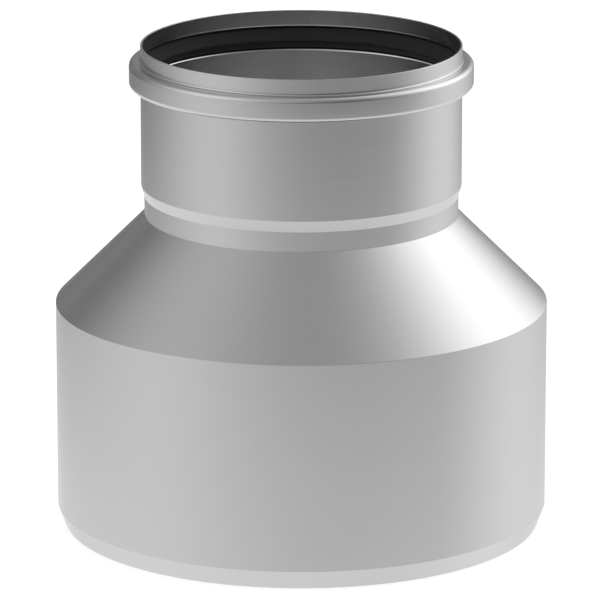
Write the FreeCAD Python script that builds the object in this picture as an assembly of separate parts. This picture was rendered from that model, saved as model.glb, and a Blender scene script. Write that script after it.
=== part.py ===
import FreeCAD, Part
import math
import os

# Duct reducer for a flue or vent: one formed sheet steel shell with a rubber lip seal in its bead.
# It stands on its large end, with +Z along the duct towards the small end, in millimetres.
# Every size is taken on the outer face of the sheet, unless its comment says otherwise.

# The sheet that the whole shell is formed from
wall = 0.5

# The large end, a plain spigot that slips into the next pipe's 125 mm socket
spigot_radius = 62.5
spigot_length = 57.7
lead_in_length = 4.8
lead_in_drop = 1.8

# The cone between the two ends, measured from the axis
cone_angle = 45.0

# The small end, a socket that takes the plain end of an 80 mm pipe
pipe_radius = 40.0
pipe_clearance = 0.1
socket_length = 25.4

# The neck below the socket, whose smaller bore stops the pipe at a bevelled shoulder
neck_step = 0.8
neck_length = 5.0
shoulder_length = 2.9

# The rolled bead round the socket, and the plain collar above it
bead_reach = 2.9
bead_height = 6.3
bead_corner_radius = 1.2
bead_root_radius = 0.35
collar_length = 4.1

# The lip seal: its heel fills the bead's groove, and its lip slants down into the pipe's way
seal_clearance = 0.08
lip_reach = 2.4
lip_drop = 2.4
lip_thickness = 0.9
lip_root_depth = 0.5

# Each bend of a section is drawn as this many equal flats, with their ends on its true arc
flats_per_bend = 3

# Radii worked out from the sizes above
socket_bore = pipe_radius + pipe_clearance
socket_radius = socket_bore + wall
neck_radius = socket_radius - neck_step
bead_radius = socket_radius + bead_reach

# Heights worked out from the sizes above
cone_top = spigot_length + (spigot_radius - neck_radius) / math.tan(math.radians(cone_angle))
shoulder_bottom = cone_top + neck_length
shoulder_top = shoulder_bottom + shoulder_length
bead_bottom = shoulder_top + socket_length
bead_top = bead_bottom + bead_height
rim_top = bead_top + collar_length

axis_point = FreeCAD.Vector(0, 0, 0)
axis_direction = FreeCAD.Vector(0, 0, 1)


def at(radius, height):
    """A point of a section, drawn in the plane where Y is zero."""
    return FreeCAD.Vector(radius, 0, height)


def bend_points(before, corner, after, radius):
    """The ends of the flats that round a corner, evenly spaced along its tangent arc."""
    back = (before - corner).normalize()
    ahead = (after - corner).normalize()
    half_angle = back.getAngle(ahead) / 2
    to_tangent = radius / math.tan(half_angle)
    to_middle = radius / math.sin(half_angle) - radius
    middle = corner + (back + ahead).normalize() * to_middle
    arc = Part.Arc(corner + back * to_tangent, middle, corner + ahead * to_tangent)
    return arc.discretize(flats_per_bend + 1)


def outline(corners, closed=False):
    """A wire of straight runs through (point, bend radius) pairs; a radius of 0 is a sharp corner."""
    points = []
    for index, (corner, radius) in enumerate(corners):
        if radius:
            before, _ = corners[index - 1]
            after, _ = corners[(index + 1) % len(corners)]
            points += bend_points(before, corner, after, radius)
        else:
            points.append(corner)
    if closed:
        points.append(points[0])
    return Part.makePolygon(points)


def turned(section):
    """A section swept once round the duct's axis."""
    return section.revolve(axis_point, axis_direction, 360)


def shell_outline():
    """The outer face of the shell in section, from below the trimmed edge up to the rim."""
    end_radius = spigot_radius - lead_in_drop
    lead_in_slope = lead_in_drop / lead_in_length
    return outline([
        (at(end_radius - lead_in_slope * wall, -wall), 0),
        (at(spigot_radius, lead_in_length), 0),
        (at(spigot_radius, spigot_length), 0),
        (at(neck_radius, cone_top), 0),
        (at(neck_radius, shoulder_bottom), 0),
        (at(socket_radius, shoulder_top), 0),
        (at(socket_radius, bead_bottom), bead_root_radius),
        (at(bead_radius, bead_bottom), bead_corner_radius),
        (at(bead_radius, bead_top), bead_corner_radius),
        (at(socket_radius, bead_top), bead_root_radius),
        (at(socket_radius, rim_top), 0),
    ])


def reducer_body():
    """The shell: its outer face thickened inwards by the sheet, trimmed flat below and turned."""
    sheet = shell_outline().makeOffset2D(wall, 2, True, True, False)
    above_floor = Part.Face(outline([
        (at(0, 0), 0),
        (at(2 * spigot_radius, 0), 0),
        (at(2 * spigot_radius, 2 * rim_top), 0),
        (at(0, 2 * rim_top), 0),
    ], closed=True))
    return turned(sheet.common(above_floor).Faces[0])


def lip_seal():
    """The seal: a heel that follows the bead's groove, and a thin lip that slants down inwards."""
    gap_and_wall = wall + seal_clearance
    heel_bottom = bead_bottom + gap_and_wall
    heel_top = bead_top - gap_and_wall
    heel_radius = bead_radius - gap_and_wall
    heel_corner_radius = bead_corner_radius - gap_and_wall
    lip_root_radius = socket_bore + lip_root_depth
    tip_radius = socket_bore - lip_reach
    tip_height = heel_top - lip_drop
    lip_angle = math.atan2(lip_root_radius - tip_radius, lip_drop)
    under_radius = tip_radius + lip_thickness * math.cos(lip_angle)
    under_height = tip_height - lip_thickness * math.sin(lip_angle)
    crease_height = under_height + (socket_bore - under_radius) / math.tan(lip_angle)
    return turned(Part.Face(outline([
        (at(heel_radius, heel_bottom), heel_corner_radius),
        (at(heel_radius, heel_top), heel_corner_radius),
        (at(lip_root_radius, heel_top), 0),
        (at(tip_radius, tip_height), 0),
        (at(under_radius, under_height), 0),
        (at(socket_bore, crease_height), 0),
        (at(socket_bore, heel_bottom), 0),
    ], closed=True)))


os.makedirs("parts", exist_ok=True)
reducer_body().exportStep("parts/reducer_body.step")
lip_seal().exportStep("parts/lip_seal.step")
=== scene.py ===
import math

import bpy
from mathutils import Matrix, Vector


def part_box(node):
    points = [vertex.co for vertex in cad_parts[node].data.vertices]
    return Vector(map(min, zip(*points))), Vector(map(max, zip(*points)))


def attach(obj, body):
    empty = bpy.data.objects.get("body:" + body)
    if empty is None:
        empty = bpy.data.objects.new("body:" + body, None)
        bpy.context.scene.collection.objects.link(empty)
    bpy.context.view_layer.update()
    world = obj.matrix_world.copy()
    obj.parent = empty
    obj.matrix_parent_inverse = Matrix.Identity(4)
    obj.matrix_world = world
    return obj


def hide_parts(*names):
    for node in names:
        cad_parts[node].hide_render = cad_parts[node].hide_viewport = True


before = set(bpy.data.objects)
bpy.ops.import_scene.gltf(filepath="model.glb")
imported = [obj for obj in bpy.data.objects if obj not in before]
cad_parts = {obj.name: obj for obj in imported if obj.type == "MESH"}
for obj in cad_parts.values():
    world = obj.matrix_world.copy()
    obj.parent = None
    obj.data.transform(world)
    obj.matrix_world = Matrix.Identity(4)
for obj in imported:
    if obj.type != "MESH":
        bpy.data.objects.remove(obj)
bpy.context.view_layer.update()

# A duct reducer of brushed sheet steel, with a black lip seal in its rolled bead.
# The duct's sizes are in millimetres. Its meshes, the camera, the floor and the lamp are in metres,
# and so are the sizes of grain in the materials.
MM = 0.001

# Places read from the frame
body_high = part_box("reducer_body")[1] / MM
seal_low, seal_high = (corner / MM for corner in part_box("lip_seal"))
spigot_radius = body_high.x
rim_top = body_high.z
heel_radius = seal_high.x
heel_bottom = seal_low.z
heel_top = seal_high.z

# The sheet, and the seal's clearance in its groove
wall = 0.5
seal_clearance = 0.08
gap_and_wall = wall + seal_clearance

# The shell's outer face
lead_in_length = 4.8
lead_in_drop = 1.8
spigot_length = 57.7
cone_angle = math.radians(45.0)
neck_length = 5.0
shoulder_length = 2.9
neck_step = 0.8
socket_radius = 40.6
bead_root_radius = 0.35
bead_corner_radius = 1.2
bead_radius = heel_radius + gap_and_wall
bead_bottom = heel_bottom - gap_and_wall
bead_top = heel_top + gap_and_wall
neck_radius = socket_radius - neck_step
socket_bore = socket_radius - wall
cone_top = spigot_length + (spigot_radius - neck_radius) / math.tan(cone_angle)

# The seal's lip
lip_reach = 2.4
lip_drop = 2.4
lip_thickness = 0.9
lip_root_depth = 0.5
lip_edge_height = heel_top - lip_drop

# The small radii at the shell's creases and cut edges, and at the seal's edges
crease_radius = 0.12
cut_edge_radius = 0.10
lip_tip_radius = 0.1
lip_crease_radius = 0.3
heel_edge_radius = 0.3

# How finely the meshes are turned and their bends are divided
segments = 288
bend_step = math.radians(10.0)

# The camera: its place, pitch and lens, and the image's shift, which puts the duct's axis where
# the photograph has it
camera_place = Vector((0.0, -1.37529, 0.43056))
camera_pitch = math.radians(74.817)
camera_lens = 335.61
camera_shift = -0.00233


# Outlines and turned meshes

def bend_points(before, corner, after, radius):
    """The points of the tangent arc that rounds a corner."""
    back = (before - corner).normalized()
    ahead = (after - corner).normalized()
    half_angle = back.angle(ahead) / 2
    centre = corner + (back + ahead).normalized() * radius / math.sin(half_angle)
    start = corner + back * radius / math.tan(half_angle) - centre
    end = corner + ahead * radius / math.tan(half_angle) - centre
    turn = start.angle_signed(end)
    steps = max(2, round(abs(turn) / bend_step))
    points = []
    for step in range(steps + 1):
        angle = -turn * step / steps
        points.append(centre + Vector((
            start.x * math.cos(angle) - start.y * math.sin(angle),
            start.x * math.sin(angle) + start.y * math.cos(angle),
        )))
    return points


def rounded_loop(corners):
    """The points of a closed outline through (point, radius) pairs."""
    points = []
    for index, (corner, radius) in enumerate(corners):
        before = corners[index - 1][0]
        after = corners[(index + 1) % len(corners)][0]
        points += bend_points(before, corner, after, radius)
    return points


def beside(corners, distance):
    """The corners of the line that runs at a distance to the left of another.

    A bend that is too tight to shrink by the distance keeps its radius.
    """
    result = []
    for index, (corner, radius) in enumerate(corners):
        ahead = corners[min(index + 1, len(corners) - 1)][0]
        behind = corners[max(index - 1, 0)][0]
        into = (corner - behind if index else ahead - corner).normalized()
        out = (ahead - corner if index < len(corners) - 1 else corner - behind).normalized()
        left = Vector((-into.y - out.y, into.x + out.x))
        shift = left * distance / (1 + into.dot(out))
        bend = radius - distance if into.cross(out) > 0 else radius + distance
        result.append((corner + shift, bend if bend > 0 else radius))
    return result


def turned_mesh(name, outline):
    """A closed outline of (radius, height) points turned once round the Z axis."""
    count = len(outline)
    vertices = []
    for segment in range(segments):
        angle = 2 * math.pi * segment / segments
        for point in outline:
            vertices.append(Vector((
                point.x * math.cos(angle), point.x * math.sin(angle), point.y,
            )) * MM)
    faces = []
    for segment in range(segments):
        here = segment * count
        there = (segment + 1) % segments * count
        for index in range(count):
            after = (index + 1) % count
            faces.append((here + index, there + index, there + after, here + after))
    mesh = bpy.data.meshes.new(name)
    mesh.from_pydata(vertices, [], faces)
    mesh.shade_smooth()
    piece = bpy.data.objects.new(name, mesh)
    piece.modifiers.new("even_shading", "WEIGHTED_NORMAL")
    bpy.context.scene.collection.objects.link(piece)
    return piece


def shell_outline():
    """The sheet's section: up its outer face, over the rim and down its inner face."""
    edge_radius = spigot_radius - lead_in_drop
    lead_in_slope = lead_in_drop / lead_in_length
    inner_edge_radius = edge_radius - wall * math.hypot(1, lead_in_slope)
    shoulder_bottom = cone_top + neck_length
    outer = [
        (Vector((edge_radius, 0)), cut_edge_radius),
        (Vector((spigot_radius, lead_in_length)), crease_radius),
        (Vector((spigot_radius, spigot_length)), crease_radius),
        (Vector((neck_radius, cone_top)), crease_radius),
        (Vector((neck_radius, shoulder_bottom)), crease_radius),
        (Vector((socket_radius, shoulder_bottom + shoulder_length)), crease_radius),
        (Vector((socket_radius, bead_bottom)), bead_root_radius),
        (Vector((bead_radius, bead_bottom)), bead_corner_radius),
        (Vector((bead_radius, bead_top)), bead_corner_radius),
        (Vector((socket_radius, bead_top)), bead_root_radius),
        (Vector((socket_radius, rim_top)), cut_edge_radius),
    ]
    inner = beside(outer, wall)
    inner[0] = (Vector((inner_edge_radius, 0)), cut_edge_radius)
    inner[-1] = (inner[-1][0], cut_edge_radius)
    return rounded_loop(outer + inner[::-1])


def seal_outline():
    """The seal's section: its heel in the groove, and its lip slanting down inwards."""
    heel_corner_radius = bead_corner_radius - gap_and_wall
    lip_root_radius = socket_bore + lip_root_depth
    tip_radius = socket_bore - lip_reach
    lip_angle = math.atan2(lip_root_radius - tip_radius, lip_drop)
    under_radius = tip_radius + lip_thickness * math.cos(lip_angle)
    under_height = lip_edge_height - lip_thickness * math.sin(lip_angle)
    crease_height = under_height + (socket_bore - under_radius) / math.tan(lip_angle)
    return rounded_loop([
        (Vector((heel_radius, heel_bottom)), heel_corner_radius),
        (Vector((heel_radius, heel_top)), heel_corner_radius),
        (Vector((lip_root_radius, heel_top)), heel_edge_radius),
        (Vector((tip_radius, lip_edge_height)), lip_tip_radius),
        (Vector((under_radius, under_height)), lip_tip_radius),
        (Vector((socket_bore, crease_height)), lip_crease_radius),
        (Vector((socket_bore, heel_bottom)), heel_edge_radius),
    ])


# Materials

# Nearly all of a noise texture's values lie between these two
noise_low = 0.3
noise_high = 0.7


class Nodes:
    """A node tree, with short calls that add a node and wire it up."""

    def __init__(self, owner):
        owner.use_nodes = True
        self.tree = owner.node_tree
        self.tree.nodes.clear()

    def add(self, kind, inputs=(), **settings):
        """A new node with its settings, and its inputs given by name or number."""
        node = self.tree.nodes.new(kind)
        for key, value in settings.items():
            setattr(node, key, value)
        for key, value in dict(inputs).items():
            self.feed(node.inputs[key], value)
        return node

    def feed(self, socket, value):
        """Wire an output to an input, or set the input to a plain value."""
        if isinstance(value, bpy.types.NodeSocket):
            self.tree.links.new(value, socket)
        else:
            socket.default_value = value

    def math(self, operation, *values):
        """The result of an operation on numbers."""
        return self.add("ShaderNodeMath", dict(enumerate(values)), operation=operation).outputs[0]

    def vector(self, operation, *values, output="Vector"):
        """The result of an operation on vectors."""
        node = self.add("ShaderNodeVectorMath", dict(enumerate(values)), operation=operation)
        return node.outputs[output]

    def ramp(self, value, low, high, to_low, to_high):
        """A straight change from one value to another, held at both ends."""
        node = self.add("ShaderNodeMapRange", {
            "Value": value, "From Min": low, "From Max": high, "To Min": to_low, "To Max": to_high,
        })
        return node.outputs["Result"]

    def blend(self, first, second, share):
        """The first value at a share of 0, the second at a share of 1."""
        first_part = self.math("MULTIPLY", first, self.math("SUBTRACT", 1.0, share))
        return self.math("ADD", first_part, self.math("MULTIPLY", second, share))

    def noise(self, place, size, detail):
        """Smooth noise, with features of about that size in metres along X, Y and Z."""
        scaled = self.vector("DIVIDE", place, size)
        node = self.add("ShaderNodeTexNoise", {"Vector": scaled, "Scale": 1.0, "Detail": detail})
        return node.outputs["Fac"]

    def spread(self, noise, low, high):
        """Noise drawn out to run from a low to a high value."""
        return self.ramp(noise, noise_low, noise_high, low, high)

    def varying_grey(self, shade):
        """A colour whose red, green and blue are all the same varying shade."""
        node = self.add("ShaderNodeCombineColor", {"Red": shade, "Green": shade, "Blue": shade})
        return node.outputs[0]


def grey(shade):
    """A plain grey as a colour."""
    return (shade, shade, shade, 1.0)


def turned_grain(nodes, place, along, across):
    """Noise drawn out round the axis: its features are along by across metres."""
    parts = nodes.add("ShaderNodeSeparateXYZ", {"Vector": place}).outputs
    flat = nodes.add("ShaderNodeCombineXYZ", {"X": parts["X"], "Y": parts["Y"]}).outputs[0]
    radius = nodes.vector("LENGTH", flat, output="Value")
    # Height less radius changes steadily down a wall and down the cone
    down = nodes.math("SUBTRACT", parts["Z"], radius)
    unrolled = nodes.add("ShaderNodeCombineXYZ", {"X": parts["X"], "Y": parts["Y"], "Z": down})
    return nodes.noise(unrolled.outputs[0], (along, along, across), detail=3.0)


def brushed_steel():
    """Satin sheet steel, with a faint grain that runs round it and slow changes in its gloss."""
    material = bpy.data.materials.new("brushed_steel")
    nodes = Nodes(material)
    place = nodes.add("ShaderNodeTexCoord").outputs["Object"]
    cloud_size = 0.04
    cloud = nodes.noise(place, (cloud_size, cloud_size, cloud_size), detail=2.0)
    fine = turned_grain(nodes, place, along=0.030, across=0.00018)
    broad = turned_grain(nodes, place, along=0.055, across=0.0016)
    broad_share = 0.4
    tone = nodes.blend(fine, broad, broad_share)
    grain_roughness = nodes.spread(tone, 0.185, 0.215)
    cloud_roughness = nodes.spread(cloud, -0.01, 0.01)
    bump = nodes.add("ShaderNodeBump", {"Height": tone, "Strength": 0.05, "Distance": 0.00002})
    shader = nodes.add("ShaderNodeBsdfPrincipled", {
        "Base Color": nodes.varying_grey(nodes.spread(tone, 0.563, 0.577)),
        "Metallic": 1.0,
        "Roughness": nodes.math("ADD", grain_roughness, cloud_roughness),
        "Specular Tint": grey(0.93),
        "Normal": bump.outputs[0],
    })
    nodes.add("ShaderNodeOutputMaterial", {"Surface": shader.outputs[0]})
    return material


def seal_rubber():
    """Black moulded rubber with fine pores and an uneven bloom, and painted light that makes it a
    little paler below the lip's edge.
    """
    material = bpy.data.materials.new("seal_rubber")
    nodes = Nodes(material)
    place = nodes.add("ShaderNodeTexCoord").outputs["Object"]
    pore_size = 0.00025
    pores = nodes.noise(place, (pore_size, pore_size, pore_size), detail=3.0)
    bloom_size = (1 / 90, 1 / 90, 1 / 300)
    bloom = nodes.noise(place, bloom_size, detail=2.0)
    height = nodes.add("ShaderNodeSeparateXYZ", {"Vector": place}).outputs["Z"]
    # Painted light: below the lip's edge, where the lip shades the rubber, its colour is made a little
    # paler
    painted_light_level = 0.028
    painted_light_fade = 0.1
    painted_light_low = (lip_edge_height - painted_light_fade) * MM
    painted_light_high = (lip_edge_height + painted_light_fade) * MM
    painted_light_below_lip = nodes.ramp(height, painted_light_low, painted_light_high, painted_light_level, 0.0)
    shade = nodes.math("ADD", nodes.spread(bloom, 0.022, 0.026), painted_light_below_lip)
    bump = nodes.add("ShaderNodeBump", {"Height": pores, "Strength": 0.15, "Distance": 0.00003})
    shader = nodes.add("ShaderNodeBsdfPrincipled", {
        "Base Color": nodes.varying_grey(shade),
        "Roughness": nodes.spread(bloom, 0.70, 0.80),
        "IOR": 1.5,
        "Specular IOR Level": 0.06,
        "Normal": bump.outputs[0],
    })
    nodes.add("ShaderNodeOutputMaterial", {"Surface": shader.outputs[0]})
    return material


# The studio

# Each soft light has an azimuth and an elevation in degrees, a sharpness and a strength.
# Azimuth 0 is towards the camera and 90 to the right. The sharper a light, the smaller it is,
# and one with a negative strength is a dark card.

# Lights in the room: the main one behind on the right, overhead, on the left, over the camera
room_lights = (
    (121, 22, 3.8, 1.86),
    (-170, 70, 1.1, 0.255),
    (-66, 17, 3.4, 1.08),
    (0, 32, 8.0, 0.14),
)

# Brighter parts of the pale surround: on the right, on the left, straight below
surround_lights = (
    (119, -37, 5.5, 0.255),
    (-113, -50, 2.8, 0.22),
    (0, -90, 12.0, 0.50),
)

# Small lights and dark cards: five behind the duct, and one on the right
cards = (
    (180, 6, 10.0, -0.22),
    (-156, 6, 40.0, 0.14),
    (-138, 24, 20.0, -0.04),
    (-176, -8, 45.0, 0.24),
    (-178, -20, 60.0, -0.11),
    (70, -10, 25.0, -0.05),
)


def rise(elevation):
    """The height of a unit vector at an elevation in degrees."""
    return math.sin(math.radians(elevation))


def direction(azimuth, elevation):
    """A unit vector at an azimuth and an elevation in degrees."""
    turn = math.radians(azimuth)
    level = math.cos(math.radians(elevation))
    return Vector((math.sin(turn) * level, -math.cos(turn) * level, rise(elevation)))


def soft_lights(nodes, ray, level, lights):
    """A level of light, plus lights and cards that each fall off softly round a direction."""
    for azimuth, elevation, sharpness, strength in lights:
        facing = nodes.vector("DOT_PRODUCT", ray, direction(azimuth, elevation), output="Value")
        turned_away = nodes.math("SUBTRACT", facing, 1.0)
        fall = nodes.math("EXPONENT", nodes.math("MULTIPLY", turned_away, sharpness))
        level = nodes.math("ADD", nodes.math("MULTIPLY", fall, strength), level)
    return level


def studio_world():
    """White for the camera; all else sees a dim room with soft lights over a pale surround."""
    world = bpy.data.worlds.new("studio")
    nodes = Nodes(world)
    bpy.context.scene.world = world
    ray = nodes.add("ShaderNodeTexCoord").outputs["Generated"]
    height = nodes.add("ShaderNodeSeparateXYZ", {"Vector": ray}).outputs["Z"]
    # The surround is palest in a band round the room, 18.5 degrees below the horizon
    band_height = rise(-18.5)
    band_level = 0.965
    over_band = nodes.ramp(height, band_height, rise(-14.0), band_level, 0.877)
    under_band = nodes.ramp(height, rise(-26.0), band_height, 0.885, band_level)
    surround = soft_lights(nodes, ray, nodes.math("MINIMUM", over_band, under_band), surround_lights)
    room = soft_lights(nodes, ray, 0.0, room_lights)
    # The surround gives way to the room between these two elevations
    room_share = nodes.ramp(height, rise(-17.0), rise(-11.8), 0.0, 1.0)
    light = soft_lights(nodes, ray, nodes.blend(surround, room, room_share), cards)
    seen = nodes.add("ShaderNodeLightPath").outputs["Is Camera Ray"]
    strength = nodes.blend(light, 1.0, seen)
    background = nodes.add("ShaderNodeBackground", {"Color": grey(1.0), "Strength": strength})
    nodes.add("ShaderNodeOutputWorld", {"Surface": background.outputs[0]})


def floor_material():
    """A pale matt floor that shows white to the camera, apart from the duct's soft shadow."""
    material = bpy.data.materials.new("floor")
    nodes = Nodes(material)
    seen = nodes.add("ShaderNodeLightPath").outputs["Is Camera Ray"]
    # The glow is what the lit floor lacks to be white
    glow_strength = 0.76
    glow = nodes.add("ShaderNodeEmission", {
        "Color": grey(1.0), "Strength": nodes.math("MULTIPLY", seen, glow_strength),
    })
    matt = nodes.add("ShaderNodeBsdfDiffuse", {"Color": grey(0.45)})
    lit = nodes.add("ShaderNodeAddShader", {0: glow.outputs[0], 1: matt.outputs[0]})
    nodes.add("ShaderNodeOutputMaterial", {"Surface": lit.outputs[0]})
    return material


def floor():
    """A level floor at the height of the duct's lower edge, left out of reflections."""
    half_side = 4.0
    mesh = bpy.data.meshes.new("floor")
    corners = [
        (-half_side, -half_side, 0),
        (half_side, -half_side, 0),
        (half_side, half_side, 0),
        (-half_side, half_side, 0),
    ]
    mesh.from_pydata(corners, [], [(0, 1, 2, 3)])
    mesh.materials.append(floor_material())
    plane = bpy.data.objects.new("floor", mesh)
    bpy.context.scene.collection.objects.link(plane)
    plane.visible_glossy = False


def ceiling_light():
    """A broad soft lamp overhead, which gives matt surfaces their written level."""
    lamp_height = 1.6
    lamp = bpy.data.lights.new("ceiling_light", "AREA")
    lamp.size = 1.6
    lamp.energy = 6.0
    holder = bpy.data.objects.new("ceiling_light", lamp)
    holder.location = (0.0, 0.0, lamp_height)
    holder.visible_glossy = False
    bpy.context.scene.collection.objects.link(holder)


def camera():
    """The photograph's camera, in front of the duct and looking a little down on it."""
    data = bpy.data.cameras.new("camera")
    data.lens = camera_lens
    data.shift_x = camera_shift
    holder = bpy.data.objects.new("camera", data)
    holder.location = camera_place
    holder.rotation_euler = (camera_pitch, 0.0, 0.0)
    bpy.context.scene.collection.objects.link(holder)
    bpy.context.scene.camera = holder


shell = turned_mesh("steel_shell", shell_outline())
shell.data.materials.append(brushed_steel())
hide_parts("reducer_body")
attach(shell, "root")

seal = turned_mesh("rubber_seal", seal_outline())
seal.data.materials.append(seal_rubber())
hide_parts("lip_seal")
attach(seal, "root")

studio_world()
floor()
ceiling_light()
camera()
bpy.context.scene.view_settings.view_transform = "Standard"
